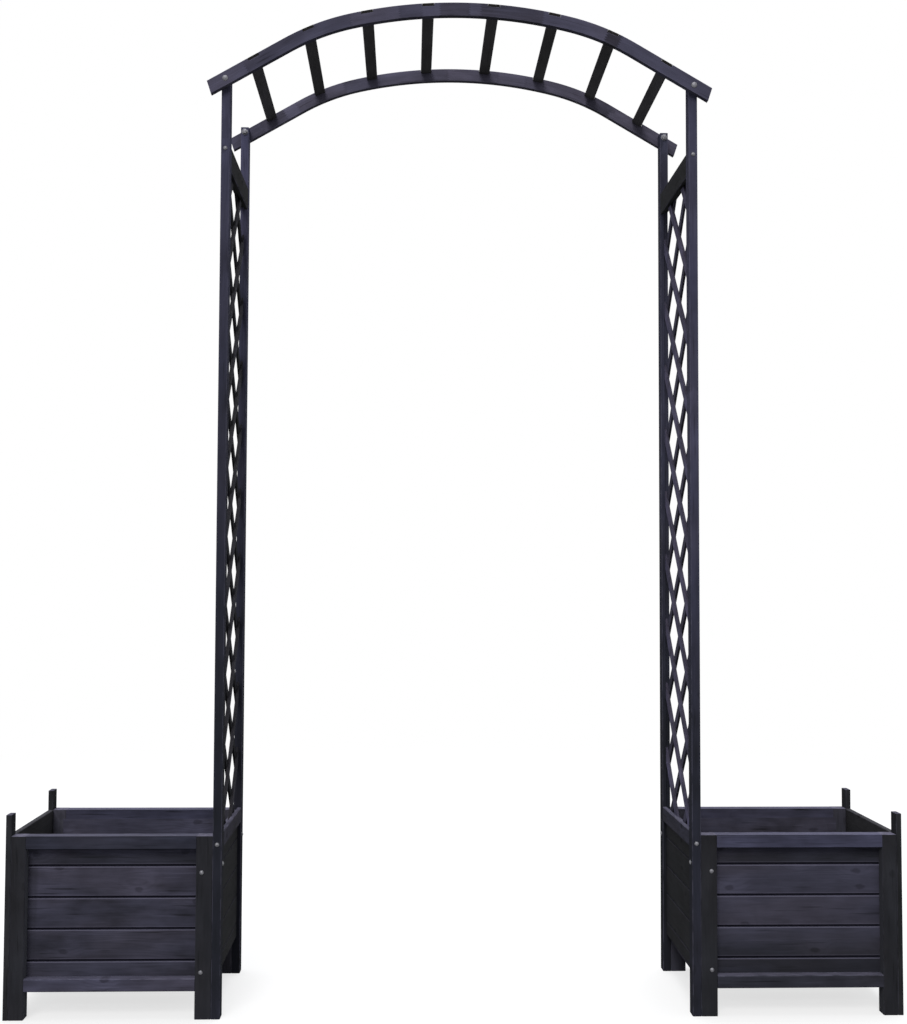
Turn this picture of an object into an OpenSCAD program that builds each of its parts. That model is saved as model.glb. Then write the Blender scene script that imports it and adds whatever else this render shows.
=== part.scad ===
// Garden arch with two planters, in stained softwood, held together by bolts and screws.
// Millimetres, +Z up. The origin is on the ground, in the middle between the two planters.
// X runs along the width, and Y runs from the front to the rear.
// The right half is modelled and mirrored to the left, and the front frame is mirrored to the rear.

/* [Overall] */
// Clear width of the walkway between the tall posts
walk_w = 945; // [800:1:1200]
// Depth of the frames, from the front face of the front posts to the rear face of the rear posts
frame_d = 360; // [280:2:460]
// Thickness along Y of the posts, stiles and rails
stock_t = 32; // [30:0.5:40]
// Size of the bevel on the long edges of the timbers
arris = 1.5; // [0.5:0.1:2.5]

/* [Arch] */
// Height of the top edge of the arch rails at the crown
crown_z = 2060; // [1900:2:2300]
// Radius of the top edge over the crown
crown_r = 990; // [800:5:1400]
// Half width of the crown curve, to where the tighter shoulder curve starts
crown_half_w = 228; // [150:2:280]
// Radius of the top edge over the shoulders
shoulder_r = 495; // [350:5:600]
// Slope of the straight ends of the rails, in degrees
end_slope = 30.2; // [26:0.2:36]
// Lean of the cut at the end of a rail, in degrees from upright
end_lean = 18; // [0:1:26]
// Depth of a rail, square to its curve
rail_h = 27.5; // [24:0.5:40]
// Thickness of a rail along Y
rail_t = 15; // [12:0.5:24]
// Distance of the top corner of a rail's end past the middle of the post, along X
rail_overhang = 37.5; // [24:0.5:80]
// Distance of the outer rungs from the inner faces of the posts
rung_inset = 46; // [30:1:100]
// Distance between the two middle rungs, along the top edge of the rails
middle_gap = 136; // [110:1:160]
// Width of a rung
rung_w = 24; // [16:0.5:30]
// Height of a rung between the rails
rung_h = 9; // [8:0.5:16]
// Height of the tongue at each end of a rung, which lies in a notch of the rail
tongue_h = 6; // [4:0.5:7]
// Distance of the end of the tongue behind the outer face of the rail
tongue_setback = 1; // [0:0.1:4]
// Gap at each side of a tongue in its notch
notch_play = 0.4; // [0.2:0.1:2]

/* [Trellis sides] */
// Width of a tall post along X
post_w = 18; // [16:0.5:30]
// Depth of the top of the trellis head below the top of the posts
head_drop = 142; // [90:1:300]
// Height of the trellis head
head_h = 48; // [30:0.5:90]
// Height of the top of the trellis sill above the rim of the planter
sill_rise = 5; // [0:0.5:20]
// Height of the trellis sill
sill_h = 32; // [26:0.5:50]
// Width of a lattice strip
strip_w = 20; // [12:0.5:30]
// Thickness of a lattice strip, which is half the thickness of the boards
strip_t = 5; // [4:0.1:6]
// Height between neighbouring lattice strips of one layer
lattice_pitch = 145; // [100:1:220]
// Height of the lowest crossing in the middle of the lattice, above the sill
first_crossing = 110; // [60:1:160]

/* [Planters] */
// Length of a planter along X, from the tall post to its outer end
planter_l = 409.5; // [320:0.5:600]
// Height of the rim
rim_z = 360; // [300:1:480]
// Width of the inner stiles
inner_stile_w = 32.5; // [30:0.5:45]
// Width of the outer stiles
outer_stile_w = 29; // [28:0.5:45]
// Thickness along X of the end battens
batten_w = 11; // [8:0.5:16]
// Height of the end battens above the rim
batten_rise = 42; // [20:0.5:80]
// Height of the top rails
top_rail_h = 26; // [22:0.5:45]
// Height of the bottom rails
bottom_rail_h = 25; // [22:0.5:45]
// Height of the upper rails at the ends of the planters
end_rail_h = 60; // [40:1:90]
// Height of the underside of the bottom rails above the ground
bottom_rail_z = 55; // [40:0.5:90]
// Depth of the seats that hold the boards and the lattice
board_seat = 6; // [5:0.5:8]
// Width of a board, from joint to joint
board_w = 62.5; // [50:0.5:75]
// Height of the lowest board joint above the bottom rail
first_joint = 31; // [24:0.5:60]
// Gap at a board joint
joint_gap = 0.5; // [0.3:0.1:1.5]
// Size of the bevels at a board joint
joint_bevel = 1.8; // [1:0.1:2]
// Height of the floor above the underside of the bottom rails
floor_rise = 27; // [22:0.5:40]
// Number of floor boards in a planter
floor_boards_n = 4; // [3:1:6]
// Gap between the floor boards
floor_gap = 4; // [2:0.5:8]
// Height of the floor cleats
floor_cleat_h = 10; // [8:0.5:20]
// Width of the floor cleats
floor_cleat_w = 18; // [12:0.5:30]
// Depth of the corner cleats behind the inner stiles
corner_cleat_d = 24; // [22:0.5:40]

/* [Fasteners] */
// Diameter of the shank of the arch bolts
bolt_d = 6; // [5:0.5:8]
// Diameter of the head of the arch bolts
bolt_head_d = 12.5; // [10:0.5:16]
// Diameter of the shank of the screws
screw_d = 5; // [4:0.5:6]
// Diameter of the head of the screws
screw_head_d = 9; // [8:0.5:13]
// Length of the screws under the head
screw_l = 46; // [42:0.5:49]
// Height of the domed heads
head_rise = 3; // [2:0.1:4]
// Clearance round a shank in its hole
hole_clear = 0.25; // [0.1:0.05:0.5]
// Height of the nuts
nut_h = 5; // [4:0.5:7]
// Width of the nuts across their flats
nut_af = 10; // [9:0.5:13]
// Thickness of the washers
washer_t = 1.2; // [1:0.1:2]
// Diameter of the washers
washer_d = 14; // [13:0.5:16]
// Depth of the trellis head screws below the top of the head
head_screw_drop = 9; // [8:0.5:20]
// Height of the sill screws above the seat for the side boards
sill_screw_rise = 4; // [3.5:0.5:7]
// Depth of the screws that join the posts to the planters below the rim
side_screw_drop = 57; // [44:0.5:64]
// Height of the lower panel screws above the floor
panel_screw_rise = 10; // [8:0.5:40]
// Depth of the upper panel screws below the rim
panel_screw_drop = 72; // [66:0.5:120]
// Distance of the panel screws from the tall post
panel_screw_in = 21; // [12:0.5:22]

/* [Hidden] */

$fn = 64;
// Steps of each half of an arch rail's curve
curve_steps = 48;
// Number of rungs in the arch
rung_n = 8;
// Extra length of a cutter past the face that it cuts
past = 1;

// Colours of the stained timber, of its shaded parts, and of zinc
stain = "#3f3c4a";
stain_dark = "#34323b";
zinc = "#b9bcc2";

// The boards are as thick as the two lattice layers together
board_t = 2 * strip_t;

// Places along X on the right half
post_x = walk_w / 2;
post_mid_x = post_x + post_w / 2;
stile_in_x = post_x + post_w;
rail_x = stile_in_x + inner_stile_w;
end_x = stile_in_x + planter_l;
batten_x = end_x - batten_w;
stile_out_x = batten_x - outer_stile_w;
rail_l = stile_out_x - rail_x;
seat_x = stile_in_x - board_t;
screw_x = stile_in_x + panel_screw_in;

// Places along Y: the front face of the frame, and the clear space between the frames
front_y = -frame_d / 2;
inside_y = front_y + stock_t;
clear_d = -2 * inside_y;
seat_y = inside_y - board_seat;
seat_d = -2 * seat_y;

// Heights in the planters
sill_top_z = rim_z + sill_rise;
sill_z = sill_top_z - sill_h;
top_rail_z = rim_z - top_rail_h;
end_rail_z = rim_z - end_rail_h;
bottom_rail_top_z = bottom_rail_z + bottom_rail_h;
boards_z0 = bottom_rail_top_z - board_seat;
boards_z1 = top_rail_z + board_seat;
end_boards_z1 = end_rail_z + board_seat;
joint_z = bottom_rail_top_z + first_joint;
floor_top_z = bottom_rail_z + floor_rise;
floor_z = floor_top_z - board_t;
side_boards_z1 = sill_z + board_seat;
sill_screw_z = side_boards_z1 + sill_screw_rise;
side_screw_z = rim_z - side_screw_drop;
panel_screw_z = [floor_top_z + panel_screw_rise, rim_z - panel_screw_drop];

// The top edge of the arch: crown arc, shoulder arc and straight end
crown_a = asin(crown_half_w / crown_r);
crown_c = [0, crown_z - crown_r];
shoulder_c = crown_c + (crown_r - shoulder_r) * [sin(crown_a), cos(crown_a)];
end_start = shoulder_c + shoulder_r * [sin(end_slope), cos(end_slope)];

// Distances along the top edge from the crown to the end of each arc
crown_s = crown_r * crown_a * PI / 180;
shoulder_s = crown_s + shoulder_r * (end_slope - crown_a) * PI / 180;

// Distance along the top edge from the crown to the place x on the straight end
function s_at(x) = shoulder_s + (x - end_start[0]) / cos(end_slope);

// Height of the top edge at the place x on the straight end
function end_z(x) = end_start[1] - (x - end_start[0]) * tan(end_slope);

// Angle of the top edge from level at the distance s, for s of zero or more
function angle_at(s) =
    s < crown_s ? s / crown_r * 180 / PI
    : s < shoulder_s ? crown_a + (s - crown_s) / shoulder_r * 180 / PI
    : end_slope;

// Point of the top edge at the distance s, for s of zero or more
function point_at(s) =
    s < crown_s ? crown_c + crown_r * [sin(angle_at(s)), cos(angle_at(s))]
    : s < shoulder_s ? shoulder_c + shoulder_r * [sin(angle_at(s)), cos(angle_at(s))]
    : end_start + (s - shoulder_s) * [cos(end_slope), -sin(end_slope)];

// Point at the depth h under the top edge, square to it, at the distance s
function point_under(s, h) = point_at(s) - h * [sin(angle_at(s)), cos(angle_at(s))];

rail_end_s = s_at(post_mid_x + rail_overhang);
rung_pitch = (s_at(post_x - rung_inset) - middle_gap / 2) / (rung_n / 2 - 1);
post_top_z = end_z(stile_in_x);
head_top_z = post_top_z - head_drop;
head_z = head_top_z - head_h;
head_screw_z = head_top_z - head_screw_drop;
lattice_z0 = sill_top_z - board_seat;
lattice_z1 = head_z + board_seat;
arch_bolt_z = end_z(post_mid_x) - rail_h / 2 / cos(end_slope);

// An octagon, which is a rectangle of a by b with bevelled corners
module bevelled(a, b) {
    polygon([
        [arris, 0], [a - arris, 0], [a, arris], [a, b - arris],
        [a - arris, b], [arris, b], [0, b - arris], [0, arris]
    ]);
}

// Timbers with bevelled long edges, which run along X, Y and Z
module bar_x(size) {
    rotate([90, 0, 90])
        linear_extrude(size[0]) bevelled(size[1], size[2]);
}

module bar_y(size) {
    translate([0, size[1], 0])
        rotate([90, 0, 0])
            linear_extrude(size[1]) bevelled(size[0], size[2]);
}

module bar_z(size) {
    linear_extrude(size[2]) bevelled(size[0], size[1]);
}

// Placing: pieces of the frame are drawn with its outer face at y = 0
module on_left() {
    mirror([1, 0, 0]) children();
}

module at_front() {
    translate([0, front_y, 0]) children();
}

module at_rear() {
    mirror([0, 1, 0]) at_front() children();
}

module both_sides() {
    children();
    on_left() children();
}

module front_and_rear() {
    at_front() children();
    at_rear() children();
}

// Turning what is drawn along +Z to lie along +Y or +X
module along_y() {
    rotate([-90, 0, 0]) children();
}

module along_x() {
    rotate([0, 90, 0]) children();
}

// Cutters for holes that start at z = 0
module through_hole(d, l) {
    translate([0, 0, -past])
        cylinder(d = d + 2 * hole_clear, h = l + 2 * past);
}

module blind_hole(d, l) {
    translate([0, 0, -past])
        cylinder(d = d + 2 * hole_clear, h = past + l + hole_clear);
}

// A bolt or screw along +Z, with the flat of its domed head at z = 0
module fastener(d, head_d, l) {
    ball_r = (pow(head_d / 2, 2) + pow(head_rise, 2)) / (2 * head_rise);
    rotate_extrude()
        intersection() {
            translate([0, ball_r - head_rise]) circle(r = ball_r);
            translate([0, -head_rise]) square([head_d, head_rise]);
        }
    cylinder(d = d, h = l);
}

module washer() {
    difference() {
        cylinder(d = washer_d, h = washer_t);
        through_hole(bolt_d, washer_t);
    }
}

module nut() {
    difference() {
        cylinder(d = nut_af / cos(30), h = nut_h, $fn = 6);
        through_hole(bolt_d, nut_h);
    }
}

// Brings the origin to the top edge at the distance s, with X along the rail and Z square to it
module on_arch(s) {
    mirror([s < 0 ? 1 : 0, 0, 0])
        translate([point_at(abs(s))[0], 0, point_at(abs(s))[1]])
            rotate([0, angle_at(abs(s)), 0]) children();
}

// Distance of a rung from the crown along the top edge; the first half of them is on the left
function rung_s(i) =
    i > rung_n / 2 ? middle_gap / 2 + (i - rung_n / 2 - 1) * rung_pitch
    : -rung_s(rung_n + 1 - i);

function mirrored(points) = [for (p = points) [-p[0], p[1]]];
function reversed(points) = [for (k = [len(points) - 1 : -1 : 0]) points[k]];

// The outline of a rail: both curved edges, and straight ends whose cut leans less than a square one
module rail_outline() {
    curve_s = [for (k = [1 : curve_steps]) shoulder_s * k / curve_steps];
    low_end_s = rail_end_s + rail_h * tan(end_slope - end_lean);
    top = concat([for (s = curve_s) point_at(s)], [point_at(rail_end_s)]);
    low = concat([for (s = curve_s) point_under(s, rail_h)], [point_under(low_end_s, rail_h)]);
    polygon(concat(
        reversed(mirrored(top)), [point_at(0)], top,
        reversed(low), [point_under(0, rail_h)], mirrored(low)
    ));
}

// A rail of the arch, outside the posts, with a notch for each rung and two bolt holes
module arch_rail() {
    color(stain)
        translate([0, -rail_t, 0])
            difference() {
                translate([0, rail_t, 0])
                    rotate([90, 0, 0])
                        linear_extrude(rail_t) rail_outline();
                for (i = [1 : rung_n])
                    on_arch(rung_s(i))
                        translate([-rung_w / 2 - notch_play, -past, -tongue_h])
                            cube([rung_w + 2 * notch_play, rail_t + 2 * past, tongue_h + rail_h]);
                both_sides()
                    translate([post_mid_x, 0, arch_bolt_z]) along_y() through_hole(bolt_d, rail_t);
            }
}

// A rung: a bar between the rails, with a thinner tongue at each end
module rung(i) {
    tongue_y = front_y - rail_t + tongue_setback;
    color(stain_dark)
        on_arch(rung_s(i)) {
            translate([-rung_w / 2, front_y, -rung_h])
                bar_y([rung_w, frame_d, rung_h]);
            for (m = [0, 1])
                mirror([0, m, 0])
                    translate([-rung_w / 2, tongue_y, -tongue_h])
                        cube([rung_w, front_y - tongue_y + arris, tongue_h]);
        }
}

// A tall post, with seats for the lattice and the side boards along its inner edge
module tall_post() {
    color(stain)
        difference() {
            translate([post_x, 0, 0])
                bar_z([post_w, stock_t, post_top_z]);
            for (span = [[floor_top_z, side_boards_z1], [lattice_z0, lattice_z1]])
                translate([seat_x, stock_t - board_seat, span[0]])
                    cube([board_t + past, board_seat + past, span[1] - span[0]]);
            translate([post_mid_x, 0, arch_bolt_z]) along_y() through_hole(bolt_d, stock_t);
            for (z = [head_screw_z, sill_screw_z])
                translate([post_mid_x, 0, z]) along_y() through_hole(screw_d, stock_t);
            translate([post_x, stock_t / 2, side_screw_z]) along_x() through_hole(screw_d, post_w);
        }
}

// The head of the trellis, seated over the ends of the lattice
module trellis_head() {
    color(stain_dark)
        difference() {
            translate([post_x, inside_y, head_z])
                bar_y([post_w, clear_d, head_h]);
            translate([seat_x, inside_y - past, head_z - past])
                cube([board_t + past, clear_d + 2 * past, board_seat + past]);
            front_and_rear()
                translate([post_mid_x, 0, head_screw_z]) along_y() blind_hole(screw_d, screw_l);
        }
}

// The sill of the trellis, seated over the lattice above and the side boards below
module trellis_sill() {
    color(stain)
        difference() {
            translate([post_x, inside_y, sill_z])
                bar_y([post_w, clear_d, sill_h]);
            for (z = [sill_z - past, lattice_z0])
                translate([seat_x, inside_y - past, z])
                    cube([board_t + past, clear_d + 2 * past, board_seat + past]);
            front_and_rear()
                translate([post_mid_x, 0, sill_screw_z]) along_y() blind_hole(screw_d, screw_l);
        }
}

// One layer of slanting strips: rise is 1 where they climb to the rear and -1 where they fall
module lattice(rise) {
    layer_x = rise > 0 ? seat_x : seat_x + strip_t;
    run = seat_d / 2;
    half_cut = strip_w / 2 / cos(45);
    last = ceil((lattice_z1 - lattice_z0) / lattice_pitch);
    color(stain)
        intersection() {
            translate([layer_x, seat_y, lattice_z0])
                cube([strip_t, seat_d, lattice_z1 - lattice_z0]);
            for (k = [-2 : last])
                translate([layer_x, 0, sill_top_z + first_crossing + k * lattice_pitch])
                    rotate([90, 0, 90])
                        linear_extrude(strip_t)
                            polygon([
                                [-run, -rise * run - half_cut], [run, rise * run - half_cut],
                                [run, rise * run + half_cut], [-run, -rise * run + half_cut]
                            ]);
        }
}

// Heights of the edges of the boards between z0 and z1; a joint too near either end is left out
function board_edges(z0, z1) = concat(
    [z0],
    [
        for (k = [0 : ceil((z1 - z0) / board_w)])
            let (z = joint_z + k * board_w)
                if (z > z0 + board_w / 4 && z < z1 - board_w / 8) z
    ],
    [z1]
);

// Section of a board between the heights a and b, with its bevelled face at x = 0:
// low says that it has a groove over the board below, and high that it has a tongue
module board_section(a, b, low, high) {
    lap = board_t / 3;
    tongue_l = board_t / 2;
    top = high ? b - joint_gap : b;
    groove_z = a + tongue_l;
    difference() {
        union() {
            polygon([
                [low ? joint_bevel : 0, a], [board_t, a], [board_t, top],
                [high ? joint_bevel : 0, top], [0, high ? top - joint_bevel : top],
                [0, low ? a + joint_bevel : a]
            ]);
            if (high) translate([lap, top - past]) square([lap, tongue_l + past]);
        }
        if (low)
            translate([lap - hole_clear, a - past])
                square([lap + 2 * hole_clear, groove_z - a + past]);
    }
}

// Boards of the length l along X between two heights, with their face at y = 0
module boards(l, z0, z1) {
    z = board_edges(z0, z1);
    last = len(z) - 2;
    for (k = [0 : last])
        rotate([90, 0, 90])
            linear_extrude(l) board_section(z[k], z[k + 1], k > 0, k < last);
}

// Boards that close the side below the sill, with their face towards the walkway
module side_boards() {
    color(stain_dark)
        translate([seat_x, -seat_y, 0])
            rotate([0, 0, -90]) boards(seat_d, floor_top_z, side_boards_z1);
}

// Boards of the end panel, with their face outwards and their ends in the outer stiles
module end_boards() {
    color(stain_dark)
        translate([batten_x, seat_y, 0])
            rotate([0, 0, 90]) boards(seat_d, boards_z0, end_boards_z1);
}

// Boards of a front or rear panel, which lie flush with the inside of the frame
module panel_boards() {
    color(stain)
        translate([rail_x - board_seat, stock_t - board_t, 0])
            boards(rail_l + 2 * board_seat, boards_z0, boards_z1);
}

// Upright cleats behind the inner stiles, which take the panel screws
module corner_cleats() {
    color(stain_dark)
        front_and_rear()
            difference() {
                translate([stile_in_x, stock_t, floor_top_z])
                    bar_z([inner_stile_w, corner_cleat_d, sill_z - floor_top_z]);
                for (z = panel_screw_z)
                    translate([screw_x, 0, z]) along_y() blind_hole(screw_d, screw_l);
            }
}

// A stile beside the tall post, seated over the ends of the panel boards
module inner_stile() {
    color(stain)
        difference() {
            translate([stile_in_x, 0, 0])
                bar_z([inner_stile_w, stock_t, rim_z]);
            translate([rail_x - board_seat, stock_t - board_t, boards_z0])
                cube([board_seat + past, board_t + past, boards_z1 - boards_z0]);
            for (z = panel_screw_z)
                translate([screw_x, 0, z]) along_y() through_hole(screw_d, stock_t);
            translate([stile_in_x, stock_t / 2, side_screw_z])
                along_x() blind_hole(screw_d, screw_l - post_w);
        }
}

// A stile at the outer end, with seats for the panel boards and the end boards
module outer_stile() {
    color(stain)
        difference() {
            translate([stile_out_x, 0, 0])
                bar_z([outer_stile_w, stock_t, rim_z]);
            translate([stile_out_x - past, stock_t - board_t, boards_z0])
                cube([board_seat + past, board_t + past, boards_z1 - boards_z0]);
            translate([batten_x - board_t, stock_t - board_seat, boards_z0])
                cube([board_t + past, board_seat + past, end_boards_z1 - boards_z0]);
        }
}

module top_rail() {
    color(stain)
        difference() {
            translate([rail_x, 0, top_rail_z])
                bar_x([rail_l, stock_t, top_rail_h]);
            translate([rail_x - past, stock_t - board_t, top_rail_z - past])
                cube([rail_l + 2 * past, board_t + past, board_seat + past]);
        }
}

module bottom_rail() {
    color(stain)
        difference() {
            translate([rail_x, 0, bottom_rail_z])
                bar_x([rail_l, stock_t, bottom_rail_h]);
            translate([rail_x - past, stock_t - board_t, boards_z0])
                cube([rail_l + 2 * past, board_t + past, board_seat + past]);
        }
}

// Thin battens on the outer stiles, which stand above the rim
module end_battens() {
    color(stain)
        front_and_rear()
            translate([batten_x, 0, 0])
                bar_z([batten_w, stock_t, rim_z + batten_rise]);
}

// Thin rails between the end battens: a wide one at the rim, and one at the foot of the panel
module end_rails() {
    color(stain) {
        translate([batten_x, inside_y, end_rail_z])
            bar_y([batten_w, clear_d, end_rail_h]);
        translate([batten_x, inside_y, bottom_rail_z])
            bar_y([batten_w, clear_d, bottom_rail_h]);
    }
}

// Cleats from front to rear, which carry the floor
module floor_cleats() {
    color(stain_dark)
        for (x = [stile_in_x, batten_x - board_t - floor_cleat_w])
            translate([x, inside_y, floor_z - floor_cleat_h])
                bar_y([floor_cleat_w, clear_d, floor_cleat_h]);
}

// Floor boards along X, with gaps that let water out
module floor_boards() {
    board_d = (clear_d - (floor_boards_n - 1) * floor_gap) / floor_boards_n;
    color(stain_dark)
        for (k = [0 : floor_boards_n - 1])
            translate([stile_in_x, inside_y + k * (board_d + floor_gap), floor_z])
                cube([batten_x - board_t - stile_in_x, board_d, board_t]);
}

// Bolts through the arch rails and the posts, with their heads outside
module arch_bolts() {
    bolt_l = rail_t + stock_t + washer_t + nut_h + past;
    color(zinc)
        both_sides()
            front_and_rear()
                translate([post_mid_x, -rail_t, arch_bolt_z])
                    along_y() fastener(bolt_d, bolt_head_d, bolt_l);
}

// A washer and a nut on each arch bolt, against the inside of the post
module arch_nuts() {
    color(zinc)
        both_sides()
            front_and_rear()
                translate([post_mid_x, stock_t, arch_bolt_z])
                    along_y() {
                        washer();
                        translate([0, 0, washer_t]) nut();
                    }
}

// Screws of the trellis head, the sill, the planter sides and the corner cleats
module screws() {
    color(zinc)
        both_sides()
            front_and_rear() {
                for (z = [head_screw_z, sill_screw_z])
                    translate([post_mid_x, 0, z]) along_y() fastener(screw_d, screw_head_d, screw_l);
                for (z = panel_screw_z)
                    translate([screw_x, 0, z]) along_y() fastener(screw_d, screw_head_d, screw_l);
                translate([post_x, stock_t / 2, side_screw_z])
                    along_x() fastener(screw_d, screw_head_d, screw_l);
            }
}

at_front() arch_rail();  // arch_front_rail
at_rear() arch_rail();  // arch_rear_rail
rung(1);  // arch_rung_1
rung(2);  // arch_rung_2
rung(3);  // arch_rung_3
rung(4);  // arch_rung_4
rung(5);  // arch_rung_5
rung(6);  // arch_rung_6
rung(7);  // arch_rung_7
rung(8);  // arch_rung_8
on_left() at_front() tall_post();  // left_front_post
on_left() at_rear() tall_post();  // left_rear_post
on_left() trellis_head();  // left_trellis_head
on_left() trellis_sill();  // left_trellis_sill
on_left() lattice(1);  // left_lattice_inner
on_left() lattice(-1);  // left_lattice_outer
on_left() side_boards();  // left_side_boards
on_left() corner_cleats();  // left_corner_cleats
on_left() at_front() inner_stile();  // left_front_inner_stile
on_left() at_front() outer_stile();  // left_front_outer_stile
on_left() at_rear() inner_stile();  // left_rear_inner_stile
on_left() at_rear() outer_stile();  // left_rear_outer_stile
on_left() at_front() top_rail();  // left_front_top_rail
on_left() at_front() bottom_rail();  // left_front_bottom_rail
on_left() at_rear() top_rail();  // left_rear_top_rail
on_left() at_rear() bottom_rail();  // left_rear_bottom_rail
on_left() at_front() panel_boards();  // left_front_boards
on_left() at_rear() panel_boards();  // left_rear_boards
on_left() end_battens();  // left_end_battens
on_left() end_rails();  // left_end_rails
on_left() end_boards();  // left_end_boards
on_left() floor_cleats();  // left_floor_cleats
on_left() floor_boards();  // left_floor_boards
at_front() tall_post();  // right_front_post
at_rear() tall_post();  // right_rear_post
trellis_head();  // right_trellis_head
trellis_sill();  // right_trellis_sill
lattice(1);  // right_lattice_inner
lattice(-1);  // right_lattice_outer
side_boards();  // right_side_boards
corner_cleats();  // right_corner_cleats
at_front() inner_stile();  // right_front_inner_stile
at_front() outer_stile();  // right_front_outer_stile
at_rear() inner_stile();  // right_rear_inner_stile
at_rear() outer_stile();  // right_rear_outer_stile
at_front() top_rail();  // right_front_top_rail
at_front() bottom_rail();  // right_front_bottom_rail
at_rear() top_rail();  // right_rear_top_rail
at_rear() bottom_rail();  // right_rear_bottom_rail
at_front() panel_boards();  // right_front_boards
at_rear() panel_boards();  // right_rear_boards
end_battens();  // right_end_battens
end_rails();  // right_end_rails
end_boards();  // right_end_boards
floor_cleats();  // right_floor_cleats
floor_boards();  // right_floor_boards
arch_bolts();
arch_nuts();
screws();
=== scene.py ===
"""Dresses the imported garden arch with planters: stained timber, bowed rails and zinc fasteners.

Metres, +Z up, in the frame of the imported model: X along the width, Y from the front to the rear,
origin on the ground in the middle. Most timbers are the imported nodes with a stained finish. The bowed
rails and the fasteners are made again as smooth surfaces with rounded edges.
"""

from __future__ import annotations

import logging
import math
from dataclasses import dataclass
from enum import Enum
from typing import Iterable, Sequence, Union

import bpy
import numpy as np
from mathutils import Matrix, Vector


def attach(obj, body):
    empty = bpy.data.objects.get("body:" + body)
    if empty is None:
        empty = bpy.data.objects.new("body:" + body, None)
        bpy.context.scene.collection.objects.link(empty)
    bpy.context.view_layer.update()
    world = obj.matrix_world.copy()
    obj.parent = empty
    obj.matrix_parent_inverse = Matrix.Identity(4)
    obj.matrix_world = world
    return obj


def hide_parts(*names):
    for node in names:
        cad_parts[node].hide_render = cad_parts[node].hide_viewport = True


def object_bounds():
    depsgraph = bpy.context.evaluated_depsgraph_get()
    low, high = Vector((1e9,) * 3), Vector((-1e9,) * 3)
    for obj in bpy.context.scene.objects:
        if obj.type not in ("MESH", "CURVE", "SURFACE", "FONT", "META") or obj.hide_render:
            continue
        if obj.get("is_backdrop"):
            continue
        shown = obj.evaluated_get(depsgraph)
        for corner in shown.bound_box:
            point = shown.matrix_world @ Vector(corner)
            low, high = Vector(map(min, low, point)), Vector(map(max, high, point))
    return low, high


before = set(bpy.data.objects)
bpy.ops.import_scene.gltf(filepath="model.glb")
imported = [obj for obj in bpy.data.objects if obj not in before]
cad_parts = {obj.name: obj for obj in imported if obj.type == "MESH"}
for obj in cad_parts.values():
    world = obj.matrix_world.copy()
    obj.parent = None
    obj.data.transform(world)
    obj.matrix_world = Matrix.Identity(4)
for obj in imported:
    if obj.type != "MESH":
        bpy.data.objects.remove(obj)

LOG = logging.getLogger("garden_arch")
PHOTO_H = 1024
MM = 0.001

# The outer faces of the boxes lie beyond this distance from the middle, in metres.
FLANK_X = 0.899

# Height in metres of the lowest joint between the boards of a panel, and the height of a board.
COURSES = {"course_z": 0.111, "course_h": 0.0625}

Array = np.ndarray
Value = Union["Wire", float]
Rgba = tuple[float, float, float, float]


class Run(Enum):
    """The way the grain of a timber runs, as the turn in degrees that brings it to the X axis."""

    ACROSS = (0.0, 0.0, 0.0)
    BACK = (0.0, 0.0, 90.0)
    UP = (0.0, 90.0, 0.0)
    RISING = (45.0, 0.0, 90.0)
    FALLING = (-45.0, 0.0, 90.0)


class Slot(Enum):
    """Material slots of the record."""

    WOOD = "stained_wood"
    ZINC = "zinc"


class Shade(Enum):
    """How light a glued length of a bowed rail is, as a change in the mix of the stain."""

    PALE = 0.24
    LIGHT = 0.13
    PLAIN = 0.05
    DEEP = -0.07
    DARK = -0.19


class Fade(Enum):
    """Distances in metres from a joint where a mark beside it starts and where it is full."""

    SEAM = (0.0010, 0.0003)
    LIP_BELOW = (0.0048, 0.0036)
    LIP_ABOVE = (0.0050, 0.0038)
    GROOVE_BELOW = (0.0024, 0.0018)
    GROOVE_ABOVE = (0.0032, 0.0022)


Lengths = tuple[tuple[float, Shade], ...]


class Wire:
    """An output socket that takes part in Python arithmetic; each operator adds one Math node."""

    def __init__(self, tree: Graph, socket: bpy.types.NodeSocket) -> None:
        """Wraps an output socket of a graph."""
        self.tree = tree
        self.socket = socket

    def _math(self, operation: str, *values: Value) -> Wire:
        """The output of a new Math node with these inputs."""
        return self.tree.add("ShaderNodeMath", {"operation": operation}, dict(enumerate(values)))[0]

    def __add__(self, other: Value) -> Wire:
        """The sum."""
        return self._math("ADD", self, other)

    __radd__ = __add__

    def __mul__(self, other: Value) -> Wire:
        """The product."""
        return self._math("MULTIPLY", self, other)

    __rmul__ = __mul__

    def __sub__(self, other: Value) -> Wire:
        """The difference."""
        return self._math("SUBTRACT", self, other)

    def __rsub__(self, other: Value) -> Wire:
        """The difference from a number."""
        return self._math("SUBTRACT", other, self)

    def __truediv__(self, other: Value) -> Wire:
        """The quotient."""
        return self._math("DIVIDE", self, other)

    def __abs__(self) -> Wire:
        """The size without its sign."""
        return self._math("ABSOLUTE", self)

    def floor(self) -> Wire:
        """The whole number below."""
        return self._math("FLOOR", self)

    def above(self, limit: Value) -> Wire:
        """1 where the value is above the limit and 0 elsewhere."""
        return self._math("GREATER_THAN", self, limit)

    def zigzag(self, height: Value) -> Wire:
        """The value folded back and forth between 0 and a height."""
        return self._math("PINGPONG", self, height)

    def greatest(self, other: Value) -> Wire:
        """The greater of two values."""
        return self._math("MAXIMUM", self, other)

    def ramp(self, low: float, high: float) -> Wire:
        """A smooth step from 0 at low to 1 at high; low may be the greater one."""
        settings = {"interpolation_type": "SMOOTHSTEP"}
        inputs = {"Value": self, "From Min": low, "From Max": high}
        return self.tree.add("ShaderNodeMapRange", settings, inputs)[0]


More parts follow.
